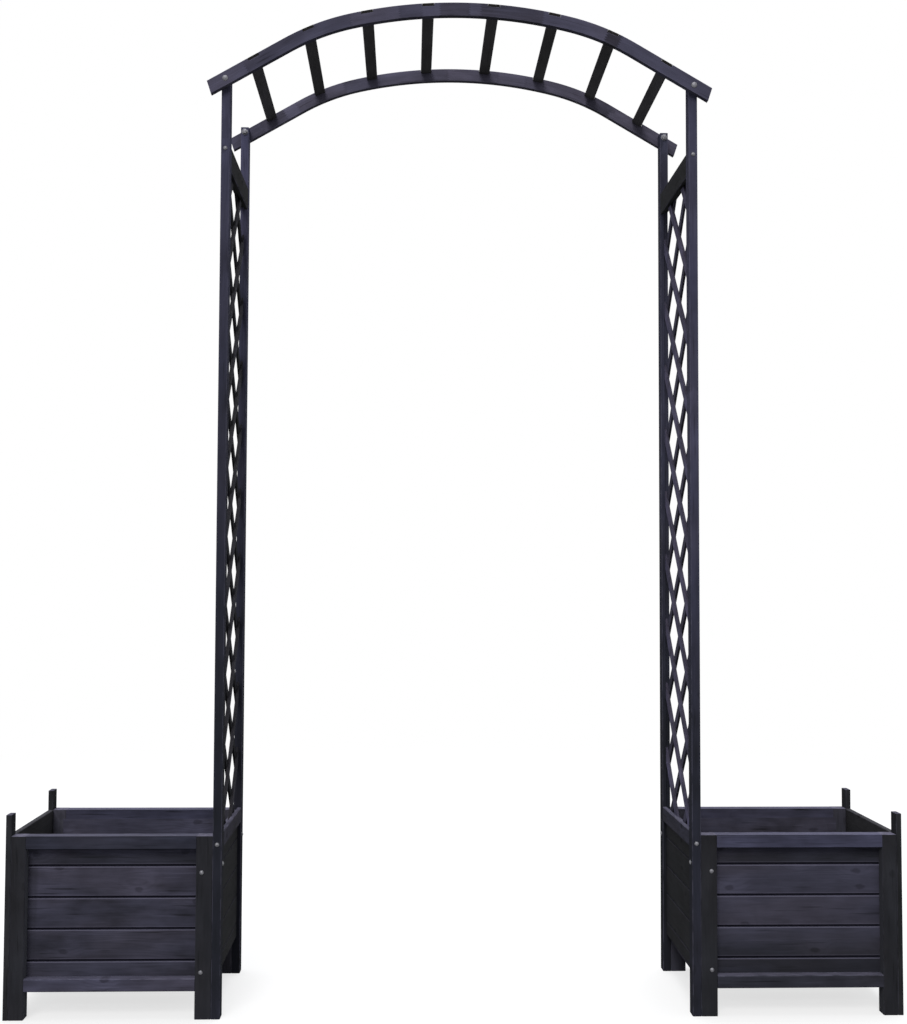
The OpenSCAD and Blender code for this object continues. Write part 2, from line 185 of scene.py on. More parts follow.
class Graph:
    """The node tree of one material or world, and the one method that adds nodes to it."""

    def __init__(self, owner: bpy.types.Material | bpy.types.World) -> None:
        """Gives a material or world an empty node tree."""
        owner.use_nodes = True
        self.tree = owner.node_tree
        self.tree.nodes.clear()

    def add(
        self,
        kind: str,
        settings: dict[str, object] | None = None,
        inputs: dict[str | int, object] | None = None,
    ) -> list[Wire]:
        """Adds a node.

        Args:
            kind: The node's type name.
            settings: Its properties, which are set first.
            inputs: Values or wires by the input's number, or by its name among the inputs in use.

        Returns:
            The node's outputs that are in use, in order.
        """
        node = self.tree.nodes.new(kind)
        for name, value in (settings or {}).items():
            setattr(node, name, value)
        for key, value in (inputs or {}).items():
            socket = next(s for i, s in enumerate(node.inputs) if key == i or (s.name == key and s.enabled))
            if isinstance(value, Wire):
                self.tree.links.new(value.socket, socket)
            else:
                socket.default_value = value
        return [Wire(self, s) for s in node.outputs if s.enabled]

    def finish(self, shader: Wire, output: str = "ShaderNodeOutputMaterial") -> None:
        """Leads a shader to the output of the material or world."""
        self.add(output, None, {"Surface": shader})

    def mix(self, amount: Value, low: object, high: object, blend: str = "MIX") -> Wire:
        """Mixes two colours, with the given share of the second one."""
        settings = {"data_type": "RGBA", "blend_type": blend}
        return self.add("ShaderNodeMix", settings, {"Factor": amount, "A": low, "B": high})[0]

    def parts(self, vector: Wire) -> list[Wire]:
        """The three parts of a vector."""
        return self.add("ShaderNodeSeparateXYZ", None, {"Vector": vector})

    def noise(self, vector: Wire, scale: Sequence[float], detail: float, rough: float = 0.5) -> Wire:
        """Noise over a stretched vector.

        Args:
            vector: The place, in metres.
            scale: Noise cells per metre along each axis.
            detail: The number of octaves.
            rough: How strong the finer octaves are.

        Returns:
            The noise, about 0.5 in the middle.
        """
        place = self.add("ShaderNodeVectorMath", {"operation": "MULTIPLY"}, {0: vector, 1: tuple(scale)})[0]
        inputs = {"Vector": place, "Scale": 1.0, "Detail": detail, "Roughness": rough}
        return self.add("ShaderNodeTexNoise", {"noise_dimensions": "3D"}, inputs)[0]


def rgba(red: float, green: float, blue: float) -> Rgba:
    """A colour with full cover."""
    return (red, green, blue, 1.0)


class Stain(Enum):
    """Colours of stained timber, and of the painted shade, light and highlights on it, as linear red, green
    and blue.
    """

    DEEP = (0.012, 0.0118, 0.0145)
    PALE = (0.072, 0.0712, 0.107)
    KNOT = (0.010, 0.009, 0.011)
    END_GRAIN = (0.012, 0.011, 0.013)
    SUNK = (0.008, 0.008, 0.010)
    WARM = (1.03, 0.99, 0.945)
    RUBBED = (0.175, 0.168, 0.235)
    JOINT = (0.004, 0.004, 0.008)
    SHADED = (0.0065, 0.0078, 0.0055)
    FLANK = (0.09, 0.092, 0.108)

    def plain(self) -> Rgba:
        """The colour as it stands."""
        return rgba(*self.value)


@dataclass(frozen=True)
class StainedTimber:
    """Softwood under a matt charcoal stain with a blue-violet cast.

    Attributes:
        name: The material's name.
        run: The way the grain runs.
        seed: Shifts the pattern, so that no two timbers match.
        tone: The lightness against the usual stain.
        foot: The part of the tone left near the ground, under painted shade towards the bottom.
        foot_z: The heights in metres where that painted shade starts and where it is full.
        crest: How far the faces that look up are painted lighter, as a painted highlight.
        rub: How far the bevelled edges are lighter, rubbed and with a painted highlight.
        sunk: How far the bevelled edges are darker.
        lip: How far the edges beside the joints between boards are lighter, a painted highlight on chamfers.
        under: The part of the tone that is left on the faces that look down, under painted shade.
        dull: How much of the violet cast is gone.
        cool: How far the cast goes from violet towards blue.
        curved: Whether the piece carries its own coordinates along a curve, and its own bevel mask.
        course_z: Height of a board joint in metres, for boards laid above each other.
        course_h: Height from joint to joint in metres; 0 for a single timber.
        lean: How much z falls with y from strip to strip of a lattice: 1, -1 or 0.
        deep_z: Height in metres above which boards get a painted shadow under the rim; 0 for none.
        corner_x: Distance from the middle in metres beyond which painted shade darkens the boards; 0 for
            none.
        flank: How far painted light lightens the faces across X inside the boxes.
        tip_y: Distance from the middle plane in metres beyond which the timber is darker:
            its end grain, with a painted shade of the notch round it; 0 for none.
        figure: How strongly the figure of the wood shows.
        knots: How strongly its knots show.
        groove: How dark the joints between boards are.
        joints: Starts of the glued lengths along the curve in metres, with the change in lightness there.
    """

    name: str
    run: Run = Run.ACROSS
    seed: int = 0
    tone: float = 1.0
    foot: float = 1.0
    foot_z: tuple[float, float] = (2.15, 0.45)
    crest: float = 0.3
    rub: float = 0.3
    sunk: float = 0.0
    lip: float = 0.4
    under: float = 0.6
    dull: float = 0.0
    cool: float = 0.0
    curved: bool = False
    course_z: float = 0.0
    course_h: float = 0.0
    lean: float = 0.0
    deep_z: float = 0.0
    corner_x: float = 0.0
    flank: float = 0.0
    tip_y: float = 0.0
    figure: float = 1.0
    knots: float = 0.5
    groove: float = 0.9
    joints: tuple[tuple[float, float], ...] = ()

    def material(self) -> bpy.types.Material:
        """Builds the material."""
        material = bpy.data.materials.new(self.name)
        graph = Graph(material)
        own = graph.add("ShaderNodeTexCoord")
        lie = self._own(graph, "lie")[1] if self.curved else own[3]
        facing = graph.parts(self._turned(graph, own[1], shifted=False))
        split, groove, lip = self._courses(graph, lie)
        place = self._shift(graph, self._turned(graph, lie), split)

        light, knot, height = self._grain(graph, place, split)
        colour = graph.mix(light, self._toned(Stain.DEEP), self._toned(Stain.PALE))
        warm = graph.noise(place, (4, 13, 13), 2.0).ramp(0.38, 0.64)
        colour = graph.mix(warm * (1 - self.dull), colour, Stain.WARM.plain(), "MULTIPLY")
        colour = graph.mix(knot * self.knots, colour, self._toned(Stain.KNOT))
        colour = self._shaded(graph, colour, own)

        worn = graph.noise(place, (40, 90, 90), 3.0)
        if self.curved:
            bevel = self._own(graph, "bevel")[2]
        else:
            most = abs(facing[0]).greatest(abs(facing[1])).greatest(abs(facing[2]))
            bevel = (1 - most).ramp(0.06, 0.2)
            end = abs(facing[0]).ramp(0.8, 0.97) * 0.7
            colour = graph.mix(end, colour, self._toned(Stain.END_GRAIN))
        if self.sunk:
            colour = graph.mix(bevel * self.sunk, colour, self._toned(Stain.SUNK))
        # Lighter bevelled edges: partly rubbed wear, partly a painted highlight where light catches the
        # arris.
        edge = bevel * (worn.ramp(0.36, 0.6) * 0.8 + 0.2) * self.rub
        # Painted highlight on the faces that look up.
        up = graph.parts(own[1])[2].ramp(0.75, 0.98) * self.crest * (worn * 1.6 + 0.2)
        wear = edge.greatest(up).greatest(lip * self.lip)
        colour = graph.mix(wear, colour, Stain.RUBBED.plain())
        colour = graph.mix(groove * self.groove, colour, Stain.JOINT.plain())

        rough = 0.74 + (light - 0.5) * 0.16 + knot * 0.06
        bump = graph.add("ShaderNodeBump", None, {"Strength": 0.45, "Distance": 0.0008, "Height": height})[0]
        inputs = {"Base Color": colour, "Roughness": rough, "Specular IOR Level": 0.008, "Normal": bump}
        graph.finish(graph.add("ShaderNodeBsdfPrincipled", None, inputs)[0])
        return material

    def _shaded(self, graph: Graph, colour: Wire, own: list[Wire]) -> Wire:
        """Paints shade into the stain, and paints light onto the inner flanks of the boxes.

        The painted shade lies low on the posts and boards, on undersides, on the boards just under a rim,
        in the corners beside the outer stiles and on the tips of tongues, whose end grain is also darker.

        Args:
            graph: The graph.
            colour: The colour so far.
            own: The outputs of the part's own coordinates.

        Returns:
            The changed colour.
        """
        x, y, z = graph.parts(own[3])
        normal_x, _, normal_z = graph.parts(own[1])
        # Painted shade on the faces that look down.
        dark = normal_z.ramp(-0.7, -0.95) * (1 - self.under)
        # Painted shade: the timber is darker towards the ground.
        if self.foot < 1:
            dark = dark.greatest(z.ramp(*self.foot_z) * (1 - self.foot))
        # Painted shadow on the top board, just under the rim.
        if self.deep_z:
            fade = z.ramp(self.deep_z + 30 * MM, self.deep_z + 14 * MM)
            dark = dark.greatest(z.above(self.deep_z) * fade * 0.5)
        # Painted shade on the boards beside the outer stiles.
        if self.corner_x:
            dark = dark.greatest(abs(x).ramp(self.corner_x, self.corner_x + 10 * MM) * 0.3)
        # The tongue tips are darker: their end grain, and a painted shade of the notch that holds them.
        if self.tip_y:
            dark = dark.greatest(abs(y).above(self.tip_y) * 0.7)
        # Painted light on the inner flanks of the stiles, which face across X inside the boxes.
        if self.flank:
            sideways = abs(normal_x).above(0.8) * (1 - abs(x).above(FLANK_X))
            colour = graph.mix(sideways * self.flank, colour, Stain.FLANK.plain())
        return graph.mix(dark, colour, Stain.SHADED.plain())

    @staticmethod
    def _own(graph: Graph, name: str) -> list[Wire]:
        """The outputs of an attribute that the piece carries."""
        return graph.add("ShaderNodeAttribute", {"attribute_name": name})

    def _toned(self, stain: Stain) -> Rgba:
        """A colour of the stain at this timber's tone; darker and duller ones are less violet."""
        red, green, blue = stain.value
        green = green * self.tone**0.94
        blue = blue * self.tone**1.12 * (1 + 0.15 * self.cool)
        return rgba(red * self.tone * (1 - 0.05 * self.cool), green, blue + (green - blue) * self.dull)

    def _turned(self, graph: Graph, vector: Wire, shifted: bool = True) -> Wire:
        """Turns a vector so that the grain runs along X.

        Args:
            graph: The graph.
            vector: The place or the normal.
            shifted: Whether it is also moved by an amount that depends on the seed.

        Returns:
            The turned vector.
        """
        rng = np.random.default_rng(1000 + self.seed)
        move = tuple(rng.uniform(-9, 9, 3).round(3)) if shifted else (0.0, 0.0, 0.0)
        turn = tuple(math.radians(a) for a in self.run.value)
        inputs = {"Vector": vector, "Location": move, "Rotation": turn}
        return graph.add("ShaderNodeMapping", {"vector_type": "POINT"}, inputs)[0]

    def _courses(self, graph: Graph, place: Wire) -> tuple[Value, Value, Value]:
        """Tells boards, strips or glued lengths apart, and finds the joints between them.

        Args:
            graph: The graph.
            place: The place on the part.

        Returns:
            A number that differs from board to board, the mask of the dark joints and that of the
            painted highlights on the edges beside them.
        """
        x, y, z = graph.parts(place)
        if self.joints:
            tooth = z.zigzag(2.5 * MM) * 2.4
            split, seam = 0.0, 0.0
            for joint, _ in self.joints:
                step = x + tooth - joint
                split = step.above(0) + split
                seam = abs(step).ramp(*Fade.SEAM.value).greatest(seam)
            return split, seam * 0.4, 0.0
        if self.course_h:
            course = (z - y * self.lean - self.course_z) / self.course_h
            number = course.floor()
            if self.lean:
                return number, 0.0, 0.0
            over = (course - number) * self.course_h
            under = self.course_h - over
            # Painted highlight on the chamfers beside each board joint.
            lip = under.ramp(*Fade.LIP_BELOW.value) + over.ramp(*Fade.LIP_ABOVE.value) * 0.3
            groove = over.ramp(*Fade.GROOVE_ABOVE.value).greatest(under.ramp(*Fade.GROOVE_BELOW.value))
            return number, groove, lip
        return 0.0, 0.0, 0.0

    def _shift(self, graph: Graph, place: Wire, split: Value) -> Wire:
        """The place, moved from board to board so that no grain runs on across a joint."""
        if not isinstance(split, Wire):
            return place
        inputs = {"X": split * 0.731, "Y": split * 0.377, "Z": split * 0.193}
        offset = graph.add("ShaderNodeCombineXYZ", None, inputs)[0]
        return graph.add("ShaderNodeVectorMath", {"operation": "ADD"}, {0: place, 1: offset})[0]

    def _grain(self, graph: Graph, place: Wire, split: Value) -> tuple[Wire, Wire, Wire]:
        """The figure of the wood.

        Growth rings are folded bands of the distance across the grain plus a slow wobble, moved a little
        round knots. Patches and streaks of deeper stain, pale streaks and fine fibres lie over them.

        Args:
            graph: The graph.
            place: The place on the timber, with the grain along X.
            split: The number of the board or glued length.

        Returns:
            The lightness, the knots' mask and the relief.
        """
        rng = np.random.default_rng(2000 + self.seed)
        angle = rng.uniform(0.5, 1.1)
        along, across, through = graph.parts(place)
        flat = graph.add("ShaderNodeCombineXYZ", None, {"X": along * 7.0, "Y": through * 12.0})[0]
        inputs = {"Vector": flat, "Scale": 1.0, "Randomness": 0.95}
        cells = graph.add("ShaderNodeTexVoronoi", {"feature": "F1", "voronoi_dimensions": "2D"}, inputs)
        chosen = graph.parts(cells[1])[0].above(0.55)
        ragged = graph.noise(place, (60, 60, 120), 2.0)
        away = cells[0] + (ragged - 0.5) * 0.09
        knot = away.ramp(0.085, 0.04) * chosen
        halo = away.ramp(0.4, 0.08) * chosen

        wobble = graph.noise(place, (3.2, 15, 15), 2.0)
        depth = across * math.cos(angle) + through * math.sin(angle)
        phase = depth * 140 + (wobble - 0.5) * 9 + halo * 1.6
        late = (phase.zigzag(0.5) * 2).ramp(0.0, 0.6)

        patch = graph.noise(place, (6.5, 17, 17), 2.0)
        cloud = graph.noise(place, (22, 42, 42), 2.0)
        flame = graph.noise(place, (9.0, 85, 85), 3.0, 0.6)
        streak = graph.noise(place, (14.0, 270, 270), 2.0, 0.6)
        fine = graph.noise(place, (9.0, 210, 210), 1.0).ramp(0.64, 0.76)
        gleam = graph.noise(place, (8.0, 240, 240), 1.0).ramp(0.36, 0.25)
        fibre = graph.noise(place, (30, 1300, 1300), 2.0)
        if self.joints:
            piece = sum(change * split.above(index + 0.5) for index, (_, change) in enumerate(self.joints))
        else:
            inputs = {"W": split * 0.613 + (0.37 * self.seed + 0.11)}
            white = graph.add("ShaderNodeTexWhiteNoise", {"noise_dimensions": "1D"}, inputs)[0]
            piece = (white - 0.5) * 0.09
        figure = (
            (patch - 0.5) * 1.0
            + (cloud - 0.5) * 0.5
            + (flame - 0.5) * 0.5
            + (streak - 0.5) * 0.2
            + (late - 0.7) * ((patch - 0.42) * 0.4 + halo * 0.06)
            + (fibre - 0.5) * 0.1
            + halo * 0.16
            + gleam * 0.2
            - fine * 0.32
        )
        light = figure * self.figure + piece + 0.5
        height = fibre * 0.3 + streak * 0.3 + flame * 0.5 + late * 0.1 - knot * 0.4 - fine * 0.3
        return light, knot, height


@dataclass(frozen=True)
class ZincPlate:
    """Zinc-plated steel of the bolts and screws, slightly dulled outdoors."""

    name: str = "ZincPlate"

    def material(self) -> bpy.types.Material:
        """Builds the material."""
        material = bpy.data.materials.new(self.name)
        graph = Graph(material)
        place = graph.add("ShaderNodeTexCoord")[3]
        cloud = graph.noise(place, (260, 260, 260), 3.0)
        grime = graph.noise(place, (900, 900, 900), 2.0).ramp(0.52, 0.75)
        colour = graph.mix(cloud.ramp(0.3, 0.7), rgba(0.13, 0.13, 0.145), rgba(0.21, 0.21, 0.23))
        colour = graph.mix(grime * 0.4, colour, rgba(0.07, 0.067, 0.066))
        bump = graph.add("ShaderNodeBump", None, {"Strength": 0.25, "Distance": 0.0002, "Height": cloud})[0]
        rough = 0.55 + (cloud - 0.5) * 0.2 + grime * 0.1
        inputs = {"Base Color": colour, "Metallic": 0.75, "Roughness": rough, "Normal": bump}
        graph.finish(graph.add("ShaderNodeBsdfPrincipled", None, inputs)[0])
        return material


@dataclass
class Surface:
    """A closed or open shell of faces with a normal for each corner.

    Attributes:
        points: Vertices, one row each.
        faces: Vertex numbers of each face.
        normals: One row for each face corner, in the order of the faces.
        lie: The vertices' own coordinates along a curved piece, or None.
        bevel: For each vertex, 1 on a bevel and 0 elsewhere, or None.
    """

    points: Array
    faces: list[list[int]]
    normals: Array
    lie: Array | None = None
    bevel: Array | None = None

    def moved(self, matrix: Array, shift: Sequence[float]) -> Surface:
        """A copy turned by a matrix and then shifted; a mirroring matrix also turns the faces round.

        Args:
            matrix: A 3 by 3 orthogonal matrix.
            shift: The shift, in metres.

        Returns:
            The copy.
        """
        matrix = np.asarray(matrix, float)
        points = self.points @ matrix.T + np.asarray(shift, float)
        normals = self.normals @ matrix.T
        faces = self.faces
        if np.linalg.det(matrix) < 0:
            ends = np.cumsum([len(f) for f in faces])
            normals = np.concatenate([normals[e - len(f):e][::-1] for e, f in zip(ends, faces)])
            faces = [f[::-1] for f in faces]
        return Surface(points, faces, normals)

    @staticmethod
    def joined(surfaces: Sequence[Surface]) -> Surface:
        """Several surfaces as one, side by side."""
        starts = np.cumsum([0] + [len(s.points) for s in surfaces])
        faces = [[v + int(start) for v in f] for start, s in zip(starts, surfaces) for f in s.faces]
        points = np.concatenate([s.points for s in surfaces])
        normals = np.concatenate([s.normals for s in surfaces])
        return Surface(points, faces, normals)

    def piece(self, name: str, material: bpy.types.Material, slot: Slot, nodes: Sequence[str]) -> None:
        """Makes the object that stands for CAD nodes, and puts it on the body.

        Args:
            name: The object's name.
            material: Its material.
            slot: The record's slot that its finish comes from; not used.
            nodes: The CAD nodes that it replaces.
        """
        mesh = bpy.data.meshes.new(name)
        mesh.from_pydata(self.points.tolist(), [], self.faces)
        mesh.polygons.foreach_set("use_smooth", np.ones(len(mesh.polygons), dtype=bool))
        mesh.normals_split_custom_set(self.normals.tolist())
        mesh.materials.append(material)
        own = (("lie", "FLOAT_VECTOR", "vector", self.lie), ("bevel", "FLOAT", "value", self.bevel))
        for label, kind, field, values in own:
            if values is not None:
                mesh.attributes.new(label, kind, "POINT").data.foreach_set(field, values.ravel())
        mesh.update()
        piece = bpy.data.objects.new(name, mesh)
        bpy.context.scene.collection.objects.link(piece)
        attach(piece, "root")
        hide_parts(*nodes)
        LOG.info("%s: %d faces", name, len(mesh.polygons))


def unit(vectors: Array) -> Array:
    """Rows scaled to length 1."""
    return vectors / np.maximum(np.linalg.norm(vectors, axis=-1, keepdims=True), 1e-12)


def grid_surface(points: Array, normals: Array, flat_spans: Array, caps: bool) -> Surface:
    """Joins rings of points, one ring for each station along a path, into a tube of four-sided faces.

    Face (i, j) has the corners (i, j), (i + 1, j), (i + 1, j + 1) and (i, j + 1), with j closed round.
    A corner takes the normal of its point, except in a flat span, where it takes the face's own.

    Args:
        points: Stations by ring points by 3.
        normals: The same shape, for smooth spans.
        flat_spans: For each span between stations, whether it is shaded flat.
        caps: Whether the ends are closed by one face each.

    Returns:
        The tube.
    """
    stations, ring = points.shape[:2]
    i, j = np.meshgrid(np.arange(stations - 1), np.arange(ring), indexing="ij")
    k = (j + 1) % ring
    quads = np.stack([i * ring + j, (i + 1) * ring + j, (i + 1) * ring + k, i * ring + k], axis=-1)
    flat_points, flat_normals = points.reshape(-1, 3), normals.reshape(-1, 3)
    corners = flat_points[quads]
    across = np.cross(corners[..., 2, :] - corners[..., 0, :], corners[..., 3, :] - corners[..., 1, :])
    own = np.repeat(unit(across)[..., None, :], 4, axis=-2)
    loops = np.where(flat_spans[:, None, None, None], own, flat_normals[quads])
    faces = quads.reshape(-1, 4).tolist()
    rows = [loops.reshape(-1, 3)]
    if caps:
        numbers = np.arange(stations * ring)
        for cap in (numbers[:ring].tolist(), numbers[-ring:][::-1].tolist()):
            corner = flat_points[cap]
            way = unit(np.cross(corner, np.roll(corner, -1, axis=0)).sum(axis=0))
            rows.append(np.repeat(way[None], ring, axis=0))
            faces.append(cap)
    return Surface(flat_points, faces, np.concatenate(rows))


def lathe(profile: Array, smooth: Array, turns: int) -> Surface:
    """Turns a profile round the Z axis.

    The point at the angle a is (r cos a, r sin a, z) for each profile point (r, z). The profile runs so
    that outside lies on its left, and its normal is its direction turned by a quarter.

    Args:
        profile: Rows of radius and height, from one pole to the other.
        smooth: For each span, whether it is shaded smooth along the profile.
        turns: The number of steps round the axis.

    Returns:
        The surface.
    """
    angle = np.linspace(0, 2 * np.pi, turns, endpoint=False)
    circle = np.stack([np.cos(angle), np.sin(angle)], axis=-1)

    def swept(rows: Array) -> Array:
        """Rows of a distance and a height, each as a ring round the axis."""
        height = np.broadcast_to(rows[:, 1, None, None], (len(rows), turns, 1))
        return np.concatenate([rows[:, 0, None, None] * circle[None], height], axis=-1)

    step = np.diff(profile, axis=0)
    way = unit(np.stack([-step[:, 1], step[:, 0]], axis=-1))
    before = np.concatenate([way[:1], way])
    after = np.concatenate([way, way[-1:]])
    return grid_surface(swept(profile), swept(unit(before + after)), ~smooth, caps=False)


@dataclass
class Bow:
    """A bowed rail of the arch: a crown arc, a tighter shoulder arc and a straight end on each side.

    The sizes are those of the part's source, in millimetres.
    """

    crown_z: float = 2060.0
    crown_r: float = 990.0
    crown_half_w: float = 228.0
    shoulder_r: float = 495.0
    end_slope: float = 30.2
    end_lean: float = 18.0
    rail_h: float = 27.5
    rail_t: float = 15.0
    post_mid_x: float = 481.5
    rail_overhang: float = 37.5
    post_x: float = 472.5
    rung_inset: float = 46.0
    middle_gap: float = 136.0
    rung_n: int = 8
    rung_w: float = 24.0
    notch_play: float = 0.4
    tongue_h: float = 6.0
    face_y: float = 180.0
    edge_r: float = 1.2
    edge_steps: int = 4
    station_step: float = 9.0
    wall_half: float = 0.04
    notch_clear: float = 1.5
    notch_inset: float = 1.0
    notch_steps: int = 4
    bevel_tilt: float = 0.13

    def __post_init__(self) -> None:
        """Works out where the arcs end."""
        self.slope = math.radians(self.end_slope)
        self.crown_a = math.asin(self.crown_half_w / self.crown_r)
        self.crown_c = np.array([0.0, self.crown_z - self.crown_r])
        out = np.array([math.sin(self.crown_a), math.cos(self.crown_a)])
        self.shoulder_c = self.crown_c + (self.crown_r - self.shoulder_r) * out
        out = np.array([math.sin(self.slope), math.cos(self.slope)])
        self.end_start = self.shoulder_c + self.shoulder_r * out
        self.crown_s = self.crown_r * self.crown_a
        self.shoulder_s = self.crown_s + self.shoulder_r * (self.slope - self.crown_a)
        self.end_s = self.s_at(self.post_mid_x + self.rail_overhang)
        outer = self.s_at(self.post_x - self.rung_inset)
        half = np.linspace(self.middle_gap / 2, outer, self.rung_n // 2)
        self.rungs = np.concatenate([-half[::-1], half])

    def s_at(self, x: float) -> float:
        """Distance along the top edge from the crown to the place x on the straight end."""
        return self.shoulder_s + (x - self.end_start[0]) / math.cos(self.slope)

    def angle(self, s: Array) -> Array:
        """Signed slope of the top edge at the distance s: s over the radius on each arc, then constant."""
        a = np.abs(s)
        shoulder = self.crown_a + (np.clip(a, self.crown_s, self.shoulder_s) - self.crown_s) / self.shoulder_r
        return np.sign(s) * np.where(a < self.crown_s, a / self.crown_r, shoulder)

    def top(self, s: Array) -> Array:
        """Points (x, z) of the top edge: a centre plus a radius on each arc, then a straight run."""
        a, t = np.abs(s), np.abs(self.angle(s))
        out = np.stack([np.sin(t), np.cos(t)], axis=-1)
        centre = np.where((a < self.crown_s)[:, None], self.crown_c, self.shoulder_c)
        radius = np.where(a < self.crown_s, self.crown_r, self.shoulder_r)
        down = np.array([math.cos(self.slope), -math.sin(self.slope)])
        run = np.maximum(a - self.shoulder_s, 0)[:, None] * down
        point = centre + radius[:, None] * out + run
        point[:, 0] *= np.where(s < 0, -1, 1)
        return point

    def stations(self) -> tuple[Array, Array, Array]:
        """Distances along the rail, with two close ones at each side of each notch.

        Returns:
            The distances, the depth of the top edge under the curve there, and whether each span
            between them is a wall of a notch.
        """
        half = self.rung_w / 2 + self.notch_play
        rungs, wall = self.rungs, self.wall_half
        plain = np.append(np.arange(-self.end_s, self.end_s, self.station_step), self.end_s)
        near = np.abs(plain[:, None] - rungs[None]).min(axis=1) < half + self.notch_clear
        floor = np.linspace(-half + self.notch_inset, half - self.notch_inset, self.notch_steps)
        inner = (rungs[:, None] + floor[None]).ravel()
        edges = (np.array([-half - wall, -half + wall, half - wall, half + wall])[:, None] + rungs).ravel()
        depth_edges = np.repeat([0.0, self.tongue_h, self.tongue_h, 0.0], self.rung_n)
        s = np.concatenate([plain[~near], inner, edges])
        depth = np.concatenate([np.zeros((~near).sum()), np.full(inner.size, self.tongue_h), depth_edges])
        order = np.argsort(s)
        s, depth = s[order], depth[order]
        return s, depth, np.abs(np.diff(depth)) > 0

    def surface(self, side: int) -> Surface:
        """A rail as a rounded rectangle carried along the top edge.

        A ring point has a depth under the top edge and a place across the rail. Its position is the top
        edge's point minus the depth along the edge's normal, with the place across on Y. At the ends the
        ring leans, because the cut is less steep than a square one.

        Args:
            side: -1 for the front rail and 1 for the rear one.

        Returns:
            The rail.
        """
        s, depth, walls = self.stations()
        quarter = np.linspace(0, np.pi / 2, self.edge_steps)
        corner = np.stack([np.sin(quarter), np.cos(quarter)], axis=-1)
        r, half_t = self.edge_r, self.rail_t / 2
        ways = np.array([(1, 1), (1, -1), (-1, -1), (-1, 1)])
        n = np.concatenate([way * corner[:: way[0] * way[1]] for way in ways])
        way = np.repeat(ways, self.edge_steps, axis=0)
        across = way[:, 0] * (half_t - r) + n[:, 0] * r
        under = way[:, 1] * r - n[:, 1] * r + np.where(way[:, 1] < 0, self.rail_h, depth[:, None])
        ends = np.zeros_like(s)
        ends[0], ends[-1] = -1, 1
        along = ends[:, None] * under * math.tan(self.slope - math.radians(self.end_lean))
        t = self.angle(s)
        out = np.stack([np.sin(t), np.cos(t)], axis=-1)
        forward = np.stack([np.cos(t), -np.sin(t)], axis=-1)
        plane = self.top(s)[:, None] - under[..., None] * out[:, None] + along[..., None] * forward[:, None]
        width = np.broadcast_to(across, under.shape)
        points = np.stack([plane[..., 0], side * (self.face_y + half_t) + width, plane[..., 1]], axis=-1) * MM
        normal_y = np.broadcast_to(n[None, :, 0], under.shape)
        normals = np.stack([n[:, 1] * out[:, :1], normal_y, n[:, 1] * out[:, 1:]], axis=-1)
        rail = grid_surface(points, normals, walls, caps=True)
        rail.lie = np.stack([s[:, None] + along, width, -under], axis=-1).reshape(-1, 3) * MM
        bevel = np.clip((1 - np.abs(n).max(axis=1)) / self.bevel_tilt, 0, 1)
        rail.bevel = np.broadcast_to(bevel, under.shape).reshape(-1)
        return rail


@dataclass
class Arch:
    """The bowed rails over the walkway and their rungs.

    Each rail is glued up from lengths of timber. A length has the place where it starts, in millimetres
    along the rail from the crown, and its shade.
    """

    bow: Bow
    front_lengths: Lengths = (
        (-1000, Shade.PALE), (-470, Shade.LIGHT), (-230, Shade.LIGHT), (-125, Shade.PLAIN),
        (-80, Shade.PALE), (-40, Shade.DEEP), (20, Shade.PALE), (45, Shade.DEEP), (175, Shade.PALE),
        (315, Shade.DARK), (345, Shade.LIGHT),
    )
    rear_lengths: Lengths = (
        (-1000, Shade.DEEP), (-475, Shade.PLAIN), (-415, Shade.PALE), (-380, Shade.PLAIN),
        (-260, Shade.PLAIN), (-50, Shade.DEEP), (-15, Shade.PLAIN), (105, Shade.LIGHT),
        (170, Shade.PLAIN), (325, Shade.DARK), (385, Shade.DEEP),
    )
    front_tone: float = 1.22
    rear_tone: float = 1.6
    rear_dull: float = 0.22
    tongue_y: float = 0.1795

    def build(self) -> None:
        """Makes the rails and dresses the rungs."""
        rails = (
            ("front", -1, self.front_tone, 0.0, self.front_lengths),
            ("rear", 1, self.rear_tone, self.rear_dull, self.rear_lengths),
        )
        for seed, (face, side, tone, dull, lengths) in enumerate(rails, 11):
            finish = StainedTimber(
                f"StainBow_{face}", Run.ACROSS, seed, tone, crest=0.0, rub=0.5, under=0.5, dull=dull,
                knots=0.3, figure=0.8, curved=True, joints=self.joints(lengths),
            )
            self.bow.surface(side).piece(f"bow_{face}", finish.material(), Slot.WOOD, [f"arch_{face}_rail"])
        for number in range(1, self.bow.rung_n + 1):
            finish = StainedTimber(
                f"StainRung_{number}", Run.BACK, 20 + number, 1.3, crest=0.0, rub=0.1, under=0.8, dull=0.9,
                tip_y=self.tongue_y, knots=0.0, figure=0.6,
            )
            dress(f"arch_rung_{number}", finish)

    @staticmethod
    def joints(lengths: Lengths) -> tuple[tuple[float, float], ...]:
        """The place of each joint in metres, and the change in shade there."""
        changes = np.diff([0.0] + [shade.value for _, shade in lengths]).round(3).tolist()
        return tuple((start * MM, change) for (start, _), change in zip(lengths, changes))


def dress(node: str, finish: StainedTimber) -> None:
    """Gives a CAD node its finish."""
    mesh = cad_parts[node].data
    mesh.materials.clear()
    mesh.materials.append(finish.material())
    LOG.info("%s: stained", node)


@dataclass
class TimberSet:
    """Timbers on one side of the walkway, with the seed that their patterns start from."""

    side: str
    seed: int

    def timber(self, piece: str, run: Run, step: int, tone: float, **traits: object) -> None:
        """Stains the CAD node of one piece.

        Args:
            piece: The node's name without the side.
            run: The way its grain runs.
            step: What its seed adds to the side's.
            tone: Its lightness.
            traits: Other fields of its finish.
        """
        node = f"{self.side}_{piece}"
        dress(node, StainedTimber(f"Stain_{node}", run, self.seed + step, tone, **traits))


